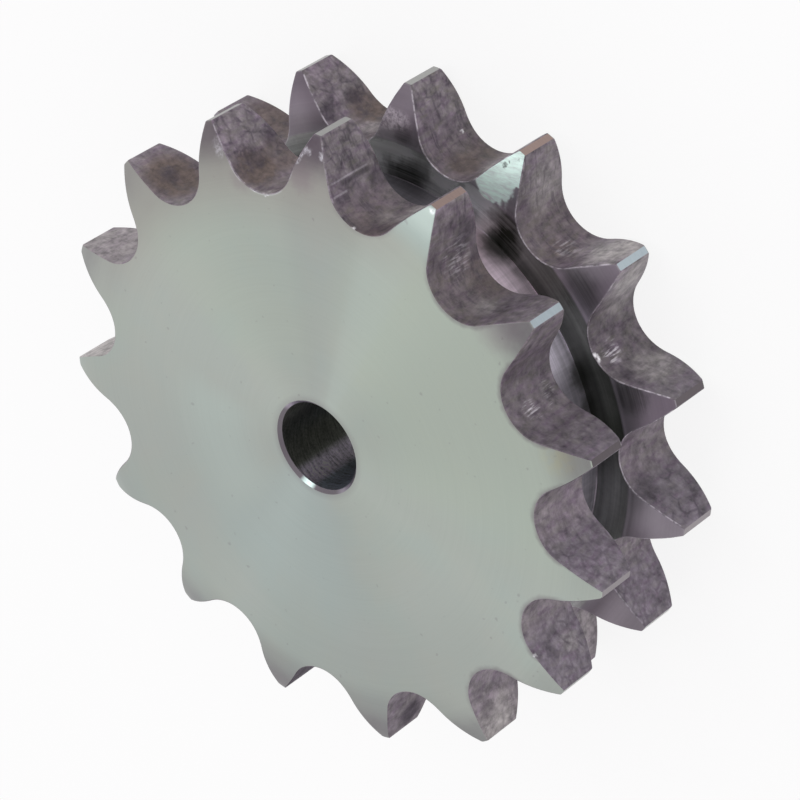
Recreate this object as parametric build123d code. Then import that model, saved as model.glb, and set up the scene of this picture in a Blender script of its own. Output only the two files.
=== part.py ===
from build123d import *

import os
from math import acos, atan2, cos, degrees, hypot, radians, sin, sqrt, tan

# Double-row roller chain sprocket: a plain plate wheel, turned and hobbed from one piece of steel.
#
# Frame: the origin is the centre of the bore, midway between the two rows of teeth. +Z runs along
# the bore and +X through the middle of a tooth in each row. Sizes are in millimetres and degrees.
#
# The solid is made as the real one is:
#   1. a blank is turned, with two flat faces, a bore whose edges are broken, a groove between the
#      rows, and tooth sides that curve back towards the tips, so that the chain finds its way on;
#   2. one cutter takes each tooth gap out of both rows at once, so the rows are in line.

# The chain that runs on it, ISO 606 size 12B-2: the 3/4 inch chain with two strands.
CHAIN_PITCH = 19.05
ROLLER_DIAMETER = 12.07
INNER_WIDTH = 11.68  # between the inner plates of a strand
PLATE_DEPTH = 16.13  # height of an inner plate
STRAND_SPACING = 19.46  # from the middle of one strand to the middle of the other

# The teeth.
TEETH = 15
TIP_ABOVE_PITCH_CIRCLE = 4.09
SEATING_ANGLE = 120.0  # how far a gap's floor wraps the roller
SIDE_CURVE_DEPTH = 2.1  # what the side curve takes off each side of a tooth at its tip

# The groove between the rows, the bore, and how far the cutter runs past the blank.
GROOVE_CLEARANCE = 0.65  # under the inner plates, beside the allowance in the standard
BORE_DIAMETER = 14.0
BORE_EDGE_BREAK = 0.5
CUTTER_OVERRUN = 2.0

# The circles that the standard works out from those sizes.
half_tooth_angle = 180 / TEETH
pitch_radius = CHAIN_PITCH / (2 * sin(radians(half_tooth_angle)))
root_radius = pitch_radius - ROLLER_DIAMETER / 2
tip_radius = pitch_radius + TIP_ABOVE_PITCH_CIRCLE
pitch_polygon_radius = CHAIN_PITCH / (2 * tan(radians(half_tooth_angle)))
groove_radius = pitch_polygon_radius - 0.52 * PLATE_DEPTH - GROOVE_CLEARANCE

# The widest tooth gap that the standard allows, which is what a worn chain runs on best.
seat_radius = 0.505 * ROLLER_DIAMETER + 0.069 * ROLLER_DIAMETER ** (1 / 3)
flank_radius = 0.008 * ROLLER_DIAMETER * (TEETH**2 + 180)

# A tooth fills 0.93 of the room between the inner plates. Its sides curve back at one pitch.
tooth_width = 0.93 * INNER_WIDTH
side_curve_radius = CHAIN_PITCH
side_curve_start = tip_radius - sqrt(2 * side_curve_radius * SIDE_CURVE_DEPTH - SIDE_CURVE_DEPTH**2)

# Heights above the middle of the wheel. Each row has an outer face and a face in the groove.
outer_face_z = (STRAND_SPACING + tooth_width) / 2
groove_face_z = (STRAND_SPACING - tooth_width) / 2


def side_curve(face_z, into_tooth):
    """One curved tooth side in the turned section, tangent to the flat face where it starts.

    face_z is the height of the flat face. into_tooth is -1 where the tooth lies below that face,
    and +1 where it lies above. Returns the curve from the face out to the tip: a spline that
    keeps to the standard's arc, since the torus that an arc turns into needs twice the facets.
    """
    arc = TangentArc(
        (side_curve_start, face_z),
        (tip_radius, face_z + into_tooth * SIDE_CURVE_DEPTH),
        tangent=(1, 0),
        mode=Mode.PRIVATE,
    )
    return Spline(arc @ 0, arc @ 0.5, arc @ 1, tangents=(arc % 0, arc % 1))


def turned_blank():
    """The blank as it leaves the lathe: its section, drawn for one row, mirrored and turned."""
    bore_radius = BORE_DIAMETER / 2
    with BuildPart() as blank:
        with BuildSketch(Plane.XZ):
            with BuildLine():
                Polyline(
                    (bore_radius, 0),
                    (bore_radius, outer_face_z - BORE_EDGE_BREAK),
                    (bore_radius + BORE_EDGE_BREAK, outer_face_z),
                    (side_curve_start, outer_face_z),
                )
                outer_side = side_curve(outer_face_z, into_tooth=-1)
                groove_side = side_curve(groove_face_z, into_tooth=1)
                Line(outer_side @ 1, groove_side @ 1)
                Polyline(
                    groove_side @ 0,
                    (groove_radius, groove_face_z),
                    (groove_radius, 0),
                )
                mirror(about=Plane.XZ)
            make_face()
        revolve(axis=Axis.Z)
    return blank.part


def flank_end(reach):
    """Where the upper flank of a gap that is centred on +X crosses the circle of radius reach."""
    wrap = radians(SEATING_ANGLE / 2)
    centre_x = root_radius + seat_radius - (seat_radius + flank_radius) * cos(wrap)
    centre_y = (seat_radius + flank_radius) * sin(wrap)
    distance = hypot(centre_x, centre_y)
    spread = acos((distance**2 + reach**2 - flank_radius**2) / (2 * distance * reach))
    bearing = atan2(centre_y, centre_x) - spread
    return Vector(reach * cos(bearing), reach * sin(bearing))


def gap_outline():
    """The tooth gap that the cutter leaves, centred on +X.

    The floor is an arc that the roller seats in. A long arc leaves it on each side, tangent to it
    and bent the other way, so that the tooth beside it narrows to its tip.
    """
    reach = tip_radius + CUTTER_OVERRUN
    far_end = flank_end(reach)
    far_angle = degrees(atan2(far_end.Y, far_end.X))
    with BuildSketch() as gap:
        with BuildLine():
            seat = CenterArc(
                (root_radius + seat_radius, 0),
                seat_radius,
                start_angle=180 - SEATING_ANGLE / 2,
                arc_size=SEATING_ANGLE,
            )
            flank = TangentArc(seat @ 0, far_end, tangent=-(seat % 0))
            mirror(flank, about=Plane.XZ)
            CenterArc((0, 0), reach, start_angle=-far_angle, arc_size=2 * far_angle)
        make_face()
    return gap.sketch


def sprocket():
    """The finished wheel: the blank with every tooth gap cut through both rows."""
    with BuildPart() as wheel:
        add(turned_blank())
        with BuildSketch():
            with PolarLocations(0, TEETH, start_angle=half_tooth_angle):
                add(gap_outline())
        extrude(amount=outer_face_z + CUTTER_OVERRUN, both=True, mode=Mode.SUBTRACT)
    return wheel.part


os.makedirs("parts", exist_ok=True)
export_step(sprocket(), "parts/sprocket.step")
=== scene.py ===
"""Looks for a double-row chain sprocket, a plain plate wheel of bright steel that lies on a bench.

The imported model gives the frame. The wheel is one turned and hobbed piece, so one mesh stands for
the CAD solid: one tooth of both rows is drawn from the chain's sizes, and a Geometry Nodes tree
sets it round the bore. Lengths are in metres, and in the finishes in millimetres. Z runs along
the bore.
"""

from __future__ import annotations

import logging
from dataclasses import dataclass, field
from enum import IntEnum
from math import acos, atan2, cos, hypot, pi, radians, sin, sqrt, tan
from typing import Any, Union

import bmesh
import bpy
from mathutils import Matrix, Vector

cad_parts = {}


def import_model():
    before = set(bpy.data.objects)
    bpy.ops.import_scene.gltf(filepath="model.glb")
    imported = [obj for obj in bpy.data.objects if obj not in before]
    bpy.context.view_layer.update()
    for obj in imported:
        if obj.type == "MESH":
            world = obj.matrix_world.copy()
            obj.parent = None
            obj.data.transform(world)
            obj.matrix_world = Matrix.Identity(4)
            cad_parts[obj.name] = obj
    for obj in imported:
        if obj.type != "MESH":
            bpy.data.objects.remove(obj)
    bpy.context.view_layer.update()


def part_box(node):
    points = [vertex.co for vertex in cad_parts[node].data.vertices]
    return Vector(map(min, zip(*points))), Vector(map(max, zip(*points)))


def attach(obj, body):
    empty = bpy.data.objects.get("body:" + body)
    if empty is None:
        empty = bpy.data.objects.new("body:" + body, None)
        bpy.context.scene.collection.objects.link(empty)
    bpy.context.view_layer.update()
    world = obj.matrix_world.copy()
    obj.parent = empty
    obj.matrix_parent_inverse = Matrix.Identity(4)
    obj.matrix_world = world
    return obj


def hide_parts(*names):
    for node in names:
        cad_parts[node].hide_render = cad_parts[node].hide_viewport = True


log = logging.getLogger("sprocket")

MM = 0.001
Colour = tuple[float, float, float, float]
Socket = bpy.types.NodeSocket
Vert = bmesh.types.BMVert


def colour(red: int, green: int, blue: int) -> Colour:
    """Turns a colour card's reading, 0 to 255 a channel, into the linear colour of a socket.

    Args:
        red: The red reading.
        green: The green reading.
        blue: The blue reading.

    Returns:
        The linear colour, with an alpha of 1.
    """
    shares = [reading / 255 for reading in (red, green, blue)]
    linear = [s / 12.92 if s <= 0.04045 else ((s + 0.055) / 1.055) ** 2.4 for s in shares]
    return (linear[0], linear[1], linear[2], 1.0)


def polar(radius: float, angle: float, level: float = 0.0) -> Vector:
    """Gives the point at a radius and an angle round the bore, at a level along it."""
    return Vector((radius * cos(angle), radius * sin(angle), level))


def mirrored(point: Vector) -> Vector:
    """Mirrors a point or a direction across the middle of the tooth on +X."""
    return Vector((point.x, -point.y, point.z))


def parts(whole: float, steps: int, first: int = 0) -> list[float]:
    """Divides a whole into equal steps, and gives how far each one reaches."""
    return [whole * step / steps for step in range(first, steps + 1)]


def linked(name: str, data: bpy.types.ID) -> bpy.types.Object:
    """Adds an object to the scene.

    Args:
        name: The name of the object.
        data: Its mesh, camera or lamp.

    Returns:
        The object.
    """
    made = bpy.data.objects.new(name, data)
    bpy.context.scene.collection.objects.link(made)
    return made


class Number:
    """A float socket that adds Math nodes where it is used in an expression."""

    def __init__(self, nodes: Nodes, socket: Socket) -> None:
        """Keeps the socket that gives the number, and the builder of the tree that it is in."""
        self.nodes = nodes
        self.socket = socket

    def math(self, operation: str, *others: Term, clamp: bool = False) -> Number:
        """Adds one Math node, with this number first."""
        return self.nodes.math(operation, self, *others, clamp=clamp)

    def __add__(self, other: Term) -> Number:
        """Adds."""
        return self.math("ADD", other)

    __radd__ = __add__

    def __sub__(self, other: Term) -> Number:
        """Subtracts."""
        return self.math("SUBTRACT", other)

    def __rsub__(self, other: Term) -> Number:
        """Subtracts this number from another."""
        return self.nodes.math("SUBTRACT", other, self)

    def __mul__(self, other: Term) -> Number:
        """Multiplies."""
        return self.math("MULTIPLY", other)

    __rmul__ = __mul__

    def __truediv__(self, other: Term) -> Number:
        """Divides."""
        return self.math("DIVIDE", other)

    def __pow__(self, other: Term) -> Number:
        """Raises to a power."""
        return self.math("POWER", other)

    def __abs__(self) -> Number:
        """Takes the size without the sign."""
        return self.math("ABSOLUTE")

    def clamped(self) -> Number:
        """Holds the number between 0 and 1."""
        return self.math("ADD", 0.0, clamp=True)

    def step(self, low: float, high: float) -> Number:
        """Rises smoothly from 0 at low to 1 at high, or falls where low is the larger.

        Args:
            low: Where the result is 0.
            high: Where the result is 1.

        Returns:
            The smooth step.
        """
        if low > high:
            return 1 - self.step(high, low)
        inputs = {"Value": self, "From Min": low, "From Max": high}
        node = self.nodes.add("ShaderNodeMapRange", inputs, interpolation_type="SMOOTHSTEP")
        return Number(self.nodes, node.outputs["Result"])

    def within(self, core: float, edge: float) -> Number:
        """Takes this as a cosine: 1 within core degrees, falling to 0 at edge degrees."""
        return self.step(cos(radians(edge)), cos(radians(core)))


Term = Union[Number, float]


@dataclass(frozen=True)
class Shape:
    """What shows on a part of a surface only."""

    @classmethod
    def rows(cls, *rows: tuple[float, ...]) -> Shapes:
        """Makes shapes, each from a row of its numbers."""
        return tuple(cls(*row) for row in rows)

    def on(self, s: Surface) -> Number:
        """The share of the shape at each place of a surface."""
        raise NotImplementedError


Shapes = tuple[Shape, ...]


@dataclass(frozen=True)
class Mark(Shape):
    """A round mark, in millimetres: its middle, where it is whole, where it ends, its share."""

    x: float
    y: float
    z: float
    core: float
    edge: float
    share: float = 1.0

    def on(self, s: Surface) -> Number:
        """The share of the mark, whose edge is a little ragged."""
        gap = s.vector_math("DISTANCE", s.loose_place, (self.x, self.y, self.z))[1]
        return Number(s, gap).step(self.edge, self.core) * self.share


@dataclass(frozen=True)
class Side(Shape):
    """A side of the wheel as seen along the bore, in degrees, and its share."""

    azimuth: float
    core: float
    edge: float
    share: float = 1.0

    def on(self, s: Surface) -> Number:
        """The share of the side.

        Args:
            s: The surface.

        Returns:
            1 on the side, and 0 away from it.
        """
        aim = radians(self.azimuth)
        cosine = (s.x * cos(aim) + s.y * sin(aim)) / s.radius
        return cosine.within(self.core, self.edge) * self.share


@dataclass(frozen=True)
class Score(Shape):
    """A line along the bore that is scored in a flank: its middle, length, width and share."""

    radius: float
    azimuth: float
    level: float
    length: float
    width: float
    share: float

    def on(self, s: Surface) -> Number:
        """The share of the line, which fades at its ends.

        Args:
            s: The surface.

        Returns:
            1 on the line, and 0 away from it.
        """
        across = abs(s.radius - self.radius).step(self.width, 0.3 * self.width)
        half = self.length / 2
        along = abs(s.z - self.level).step(half, 0.8 * half)
        return across * along * s.on(Side.rows((self.azimuth, 2.5, 4, self.share)))


class Nodes:
    """Adds nodes to one tree, of a material, the world or a Geometry Nodes group."""

    def __init__(self, tree: bpy.types.NodeTree) -> None:
        """Empties the tree to build in."""
        self.tree = tree
        tree.nodes.clear()

    def add(
        self, kind: str, inputs: dict[str | int, Any] | None = None, **settings: Any
    ) -> bpy.types.Node:
        """Adds one node: its settings are set first, and then its sockets.

        Args:
            kind: The node's type.
            inputs: A value, a Number or a socket for each input, by name or place.
            settings: The node's own properties.

        Returns:
            The node.
        """
        node = self.tree.nodes.new(kind)
        for name, value in settings.items():
            setattr(node, name, value)
        for key, value in (inputs or {}).items():
            value = value.socket if isinstance(value, Number) else value
            if isinstance(value, Socket):
                self.tree.links.new(value, node.inputs[key])
            else:
                node.inputs[key].default_value = value
        return node

    def first(self, kind: str, inputs: dict[str | int, Any], **settings: Any) -> Socket:
        """Adds one node and gives its first output."""
        return self.add(kind, inputs, **settings).outputs[0]

    def math(self, operation: str, *terms: Term, clamp: bool = False) -> Number:
        """Adds one Math node, with its inputs in order, and gives its result."""
        settings = {"operation": operation, "use_clamp": clamp}
        return Number(self, self.first("ShaderNodeMath", dict(enumerate(terms)), **settings))

    def vector_math(self, operation: str, *terms: Any) -> Any:
        """Adds one Vector Math node and gives its outputs: a vector, then a number."""
        return self.add("ShaderNodeVectorMath", dict(enumerate(terms)), operation=operation).outputs

    def vector(self, x: Term, y: Term, z: Term) -> Socket:
        """Makes a vector of three numbers."""
        return self.first("ShaderNodeCombineXYZ", {0: x, 1: y, 2: z})

    def mix(self, share: Term, first: Any, second: Any) -> Socket:
        """Mixes a second colour into the first, by a share from 0 to 1."""
        inputs = {0: share, 6: first, 7: second}
        return self.add("ShaderNodeMix", inputs, data_type="RGBA", clamp_factor=True).outputs[2]

    def scaled(self, shade: Any, factor: Term) -> Socket:
        """Multiplies each channel of a colour by a number."""
        inputs = {0: 1.0, 6: shade, 7: self.vector(factor, factor, factor)}
        return self.add("ShaderNodeMix", inputs, data_type="RGBA", blend_type="MULTIPLY").outputs[2]

    def noise(self, place: Any, scale: float, detail: float = 2.0, rough: float = 0.5) -> Number:
        """Adds a Noise texture, with scale waves to a unit, that is about 0.5 on average."""
        inputs = {"Vector": place, "Scale": scale, "Detail": detail, "Roughness": rough}
        return Number(self, self.add("ShaderNodeTexNoise", inputs).outputs["Fac"])


class Surface(Nodes):
    """The node tree of one finish, with its shade so far and the places to read patterns at."""

    def __init__(self, name: str, shade: Colour) -> None:
        """Makes an empty material and its coordinates in millimetres about the bore.

        Args:
            name: The material's name.
            shade: The colour under all that is laid on.
        """
        self.material = bpy.data.materials.new(name)
        self.material.use_nodes = True
        super().__init__(self.material.node_tree)
        self.shade: Any = shade
        spot = self.add("ShaderNodeTexCoord").outputs["Object"]
        self.place = self.vector_math("MULTIPLY", spot, (1 / MM, 1 / MM, 1 / MM))[0]
        axes = self.add("ShaderNodeSeparateXYZ", {0: self.place}).outputs
        self.x, self.y, self.z = (Number(self, axis) for axis in axes)
        self.radius = (self.x * self.x + self.y * self.y) ** 0.5
        self.loose_place = self.warped(0.9, 1.6)

    def lay(self, share: Term, shade: Any) -> None:
        """Lays a colour over the shade so far, by a share from 0 to 1."""
        self.shade = self.mix(share, self.shade, shade)

    def tone(self, factor: Term) -> None:
        """Makes the shade so far brighter or darker by a factor."""
        self.shade = self.scaled(self.shade, factor)

    def attribute(self, name: str) -> Number:
        """Reads one of the mesh's own attributes as a number."""
        settings = {"attribute_type": "GEOMETRY", "attribute_name": name}
        return Number(self, self.add("ShaderNodeAttribute", **settings).outputs["Fac"])

    def on(self, shapes: Shapes) -> Number:
        """Adds up shapes.

        Args:
            shapes: The marks, sides or scores.

        Returns:
            The share of them at each place.
        """
        total: Any = 0.0
        for shape in shapes:
            total = shape.on(self) + total
        return total

    def past_seat(self, form: ToothForm) -> Number:
        """Finds how far a place is from the nearest roller seat, in millimetres.

        Args:
            form: The tooth form that the seats are of.

        Returns:
            The distance, which is below 0 inside a seat.
        """
        pitch = 2 * form.half_tooth
        share = self.math("ARCTAN2", self.y, self.x) / pitch - 0.5
        turn = (share - share.math("ROUND")) * pitch
        out = self.radius * turn.math("COSINE") - form.seat_centre.x / MM
        side = self.radius * turn.math("SINE")
        return (out * out + side * side) ** 0.5 - form.seat_radius / MM

    def stretched(self, x: float, y: float, z: float) -> Socket:
        """Gives the place with each axis scaled by its own number."""
        return self.vector_math("MULTIPLY", self.place, (x, y, z))[0]

    def warped(self, scale: float, amount: float) -> Socket:
        """Gives the place shifted a little by a noise, so that a pattern there is uneven.

        Args:
            scale: How many waves the noise has to a millimetre.
            amount: How far the place is shifted, in millimetres.

        Returns:
            The vector.
        """
        inputs = {"Vector": self.place, "Scale": scale, "Detail": 2.0}
        swirl = self.add("ShaderNodeTexNoise", inputs).outputs["Color"]
        swirl = self.vector_math("SUBTRACT", swirl, (0.5, 0.5, 0.5))[0]
        return self.vector_math("MULTIPLY_ADD", swirl, (amount, amount, amount), self.place)[0]

    def turned(self, across: float, around: float) -> Socket:
        """Gives the place for what a lathe leaves, with across waves to a millimetre outwards."""
        return self.arcs(self.radius * across, around)

    def arcs(self, across: Term, around: float) -> Socket:
        """Gives a place that changes with across, and slowly round the bore."""
        turn = self.math("DIVIDE", around, self.radius)
        return self.vector(across, self.x * turn, self.y * turn)

    def finish(self, inputs: dict[str, Any]) -> bpy.types.Material:
        """Adds the Principled shader, with the shade so far, and the output.

        Args:
            inputs: The rest of the shader's inputs.

        Returns:
            The material.
        """
        shader = self.first("ShaderNodeBsdfPrincipled", {"Base Color": self.shade, **inputs})
        self.add("ShaderNodeOutputMaterial", {"Surface": shader})
        return self.material


class Finish(IntEnum):
    """The finishes of the wheel, by the tool that leaves them."""

    FACE = 0
    FLANK = 1
    GROOVE = 2
    LAND = 3
    BORE = 4


@dataclass(frozen=True)
class Station:
    """One place along a flank, from the bottom of the gap out to the tip.

    Where the tip's edge is rounded, inset is how far the sides are drawn in, and wear is 1.
    """

    radius: float
    angle: float
    inward: Vector
    inset: float = 0.0
    wear: float = 0.0

    def spot(self, depth: float) -> Vector:
        """A point in the plane of the wheel, at a depth under the upper flank of the tooth."""
        return polar(1, self.angle) * self.radius + self.inward * depth

    def along(self, share: float) -> Vector:
        """A point across the tooth on this station's circle, at a share of its half width."""
        return polar(1, self.angle * share) * self.radius

    def rounded(self, soft: float, turn: float) -> Station:
        """Draws the station in along the land, for the rounded edge of the tip.

        Args:
            soft: The radius of the rounded edge.
            turn: How far the edge has turned from the flank to the land.

        Returns:
            The station on the rounded edge.
        """
        inset = soft * (1 - cos(turn))
        angle = self.angle - inset / self.radius
        along_land = Vector((sin(angle), -cos(angle), 0))
        inward = self.inward.slerp(along_land, 2 * turn / pi)
        return Station(self.radius, angle, inward, inset, 1.0)


@dataclass
class ToothForm:
    """The tooth form of the chain's standard, with the widest gap that it allows."""

    chain_pitch: float = 19.05 * MM
    roller_diameter: float = 12.07 * MM
    teeth: int = 15
    tip_above_pitch_circle: float = 4.09 * MM
    seating_angle: float = radians(120)
    seat_steps: int = 9
    flank_steps: int = 12

    def __post_init__(self) -> None:
        """Works out the circles of the standard, and the centre of the flank's arc."""
        roller_mm = self.roller_diameter / MM
        self.half_tooth = pi / self.teeth
        self.pitch_radius = self.chain_pitch / (2 * sin(self.half_tooth))
        self.root_radius = self.pitch_radius - self.roller_diameter / 2
        self.tip_radius = self.pitch_radius + self.tip_above_pitch_circle
        # The standard gives the widest gap by these two formulas, in millimetres.
        self.seat_radius = (0.505 * roller_mm + 0.069 * roller_mm ** (1 / 3)) * MM
        self.flank_radius = 0.008 * roller_mm * (self.teeth**2 + 180) * MM
        self.wrap = self.seating_angle / 2
        self.seat_centre = Vector((self.root_radius + self.seat_radius, 0, 0))
        reach = self.seat_radius + self.flank_radius
        self.flank_centre = self.seat_centre - polar(1, -self.wrap) * reach

    def _station(self, spot: Vector, inward: Vector) -> Station:
        """Moves a point of a gap on +X to the upper flank of the tooth on +X.

        Args:
            spot: The point in the gap's own frame, on the flank above its middle.
            inward: The direction into the steel there.

        Returns:
            The station.
        """
        # The gap's middle is half a tooth on, and this tooth has the flank below it.
        turn = Matrix.Rotation(self.half_tooth, 3, "Z")
        point, into = turn @ mirrored(spot), turn @ mirrored(inward)
        return Station(point.length, atan2(point.y, point.x), into)

    def _on_flank(self, turn: float) -> Station:
        """The station where the flank's arc has turned this far from the end of the seat."""
        away = polar(1, turn - self.wrap)
        return self._station(self.flank_centre + away * self.flank_radius, -away)

    def _flank_turn(self, radius: float) -> float:
        """How far the flank's arc turns before it meets a circle.

        Args:
            radius: The radius of the circle.

        Returns:
            The angle.
        """
        out = self.flank_centre.length
        bearing = atan2(self.flank_centre.y, self.flank_centre.x)
        cosine = (out**2 + self.flank_radius**2 - radius**2) / (2 * out * self.flank_radius)
        # Seen from the flank's centre, the bore lies at bearing + pi.
        return self.wrap - (pi - bearing - acos(cosine))

    def stations(self, soft: float, steps: int) -> list[Station]:
        """The stations of one flank.

        Args:
            soft: The radius of the rounded edge at the tip.
            steps: How many strips the rounded edge has.

        Returns:
            The stations, from the bottom of the gap out to the edge of the land.
        """
        found = []
        for turn in parts(self.wrap, self.seat_steps):
            away = -polar(1, -turn)
            found.append(self._station(self.seat_centre + away * self.seat_radius, away))
        last = self._flank_turn(self.tip_radius - 2 * soft)
        found += [self._on_flank(turn) for turn in parts(last, self.flank_steps, 1)]
        for turn in parts(pi / 2, steps):
            reach = self._flank_turn(self.tip_radius - soft * (1 - sin(turn)))
            found.append(self._on_flank(reach).rounded(soft, turn))
        return found


@dataclass(frozen=True)
class FaceFinish:
    """The turned outer faces and the curved sides of the teeth, with the marks of handling, and
    painted sheen, reflections, highlights and shade.
    """

    form: ToothForm
    steel: Colour = colour(172, 179, 172)
    cool: Colour = colour(167, 179, 175)
    warm: Colour = colour(178, 179, 174)
    green: Colour = colour(177, 188, 175)
    sky: Colour = colour(168, 182, 181)
    gleam: Colour = colour(177, 187, 181)
    mint: Colour = colour(163, 175, 170)
    smear: Colour = colour(116, 104, 113)
    painted_shade_tone: Colour = colour(112, 103, 112)
    tint: Colour = colour(156, 142, 138)
    straw: Colour = colour(186, 189, 160)
    rose: Colour = colour(140, 124, 134)
    bright: Colour = colour(234, 236, 240)
    roughness: float = 0.36
    grain: float = 0.7
    grain_turn: float = 0.25
    smear_width: float = 0.9
    smeared: Shapes = Side.rows((-84, 46, 64, 0.55), (-12, 6, 16, 0.2))
    painted_curve_shade: Shapes = Side.rows(
        (0, 5, 9, 0.85), (24, 5, 9, 0.6), (-48, 5, 9, 0.5), (-72, 5, 9, 0.15), (-120, 5, 9, 0.2),
        (-178, 26, 54, 0.5), (64, 10, 24, 0.35),
    )
    painted_green_sheen: Shapes = Side.rows((-54, 24, 50, 0.7), (30, 14, 32, 0.35))
    painted_sky_reflection: Shapes = Side.rows((164, 4, 44, 0.5))
    painted_streaks: Shapes = Side.rows((-20, 2, 9, 0.35), (-176, 3, 12, 0.1))
    gleaming: Shapes = Side.rows((110, 14, 34))
    painted_mint_highlight: Shapes = Side.rows((-24, 6, 12))
    painted_tip_shade: Shapes = Side.rows((-180, 18, 40, 0.25), (48, 10, 40, 0.12))
    stained: Shapes = Side.rows((22, 25, 60))
    painted_side_shade: Shapes = Side.rows((-158, 26, 50), (-3, 5, 14, 0.6))
    straw_marks: Shapes = Mark.rows((15.4, -43, 14.5, 0.6, 3.6, 0.6))
    painted_rose_shade: Shapes = Mark.rows(
        (32.4, -32.8, 14.6, 1.5, 5.5, 0.35), (43.9, 1.7, 15, 0.8, 3.5, 0.4),
        (39.5, 12.8, 15.2, 0.6, 2.8, 0.3),
    )
    rim_light: Shapes = Side.rows((12, 8, 14, 0.35))
    sparkles: Shapes = Mark.rows(
        (47.6, 1.3, 14.1, 0.2, 0.7, 0.8), (47.5, 0.6, 14, 0.2, 0.6, 0.7),
        (46.9, 2, 14.2, 0.2, 0.8, 0.8), (46.1, 2.6, 14.4, 0.2, 0.9, 0.7),
        (47.5, -1.6, 14, 0.2, 0.7, 0.7), (43.4, 17.5, 14.3, 0.4, 1.6, 0.3),
        (42.4, 17.1, 14.6, 0.3, 1.2, 0.3), (45.2, -20.3, 13.3, 0.15, 0.6, 0.7),
        (-19, -39.6, 15, 0.1, 0.5, 0.9), (38.8, 10.1, 15.1, 0.1, 0.5, 0.8),
        (39, 7.8, 15, 0.1, 0.5, 0.8),
    )

    def material(self) -> bpy.types.Material:
        """Builds the material.

        Returns:
            The material.
        """
        s = Surface("turned_face", self.steel)
        # The skin, and the broad veils of colour that lie on it, among them painted sheen, a painted
        # reflection and painted highlights.
        cloud = s.noise(s.place, 0.07, 3, 0.6)
        drift = s.noise(s.stretched(0.05, 0.05, 0.05), 1, 1)
        s.lay(cloud.step(0.4, 0.6) * 0.35, self.cool)
        s.lay(drift.step(0.42, 0.62) * 0.3, self.warm)
        # Painted sheen: lighter, greener steel on two sides of the face.
        painted_green_sheen = s.on(self.painted_green_sheen) * (0.4 + 0.6 * s.radius.step(10, 20))
        s.lay(painted_green_sheen, self.green)
        # Painted reflection: a lighter bluish tone on one side, strongest near the middle.
        s.lay(s.on(self.painted_sky_reflection) * s.radius.step(42, 18), self.sky)
        # Painted highlights: a gleaming band on one side of the middle, and narrow radial streaks.
        gleam = s.on(self.gleaming) * s.radius.step(32, 20) * s.radius.step(8, 18)
        s.lay(gleam + s.on(self.painted_streaks), self.gleam)
        stained = s.on(self.stained) * s.radius.step(33, 43)
        s.lay(stained * (0.15 + 0.5 * cloud), self.tint)
        blotch = s.noise(s.place, 0.45, 2, 0.6)
        s.lay(s.on(self.straw_marks) * blotch.step(0.3, 0.6), self.straw)
        # Painted shade: rose-tinted darker patches on three tooth tips.
        s.lay(s.on(self.painted_rose_shade), self.rose)

        # Smears along the tooth gaps, a painted highlight on one side's edge, painted shade on the
        # tips, and a smear round the bore.
        seat = s.past_seat(self.form)
        rim = seat / self.smear_width - 1.2 * (blotch - 0.5)
        s.lay(rim.step(1.1, 0) * s.on(self.smeared), self.smear)
        # Painted highlight: a bright lip along the seat's edge on one side.
        painted_lip_highlight = seat.step(0.4, 0.12) * s.on(self.rim_light) * blotch.step(0.35, 0.55)
        s.lay(painted_lip_highlight, self.bright)
        ring = s.radius.step(8.8, 7.4) * (0.2 + 0.6 * cloud)
        s.lay(ring * 0.5, self.smear)
        # Painted shade: the tips of the teeth are darker, by a different amount on each side.
        tip = s.radius.step(43, 48.4) + 0.5 * (blotch - 0.5) * s.radius.step(43, 46)
        s.lay(tip * s.on(self.painted_curve_shade), self.painted_shade_tone)
        s.lay(s.on(self.painted_tip_shade) * s.radius.step(38.5, 43), self.painted_shade_tone)
        # Painted highlight: a lighter mint tone on one tooth's tip.
        s.lay(s.on(self.painted_mint_highlight) * s.radius.step(41.5, 46), self.mint)
        specks = s.noise(s.place, 0.8, 1).step(0.72, 0.8)
        s.lay(specks * 0.25, self.smear)
        # Painted glints at the tips and along edges, broken up by flecks.
        flecks = s.noise(s.place, 1.8, 2, 0.7).step(0.42, 0.54)
        s.lay(s.on(self.sparkles) * (0.35 + 0.65 * flecks), self.bright)

        # The rings that the lathe left, and painted shade on two sides.
        fine = s.noise(s.turned(5, 1.4), 1, 3, 0.6)
        broad = s.noise(s.turned(0.9, 0.5), 1, 2, 0.5)
        painted_side_shade = s.on(self.painted_side_shade) * (0.4 + 0.6 * s.radius.step(24, 38))
        s.tone(0.94 + 0.08 * fine + 0.06 * broad - 0.09 * painted_side_shade)
        grain = {"Anisotropic": self.grain, "Anisotropic Rotation": self.grain_turn}
        rough = self.roughness + 0.1 * (broad - 0.5)
        return s.finish({"Metallic": 1, **grain, "Roughness": rough})


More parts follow.
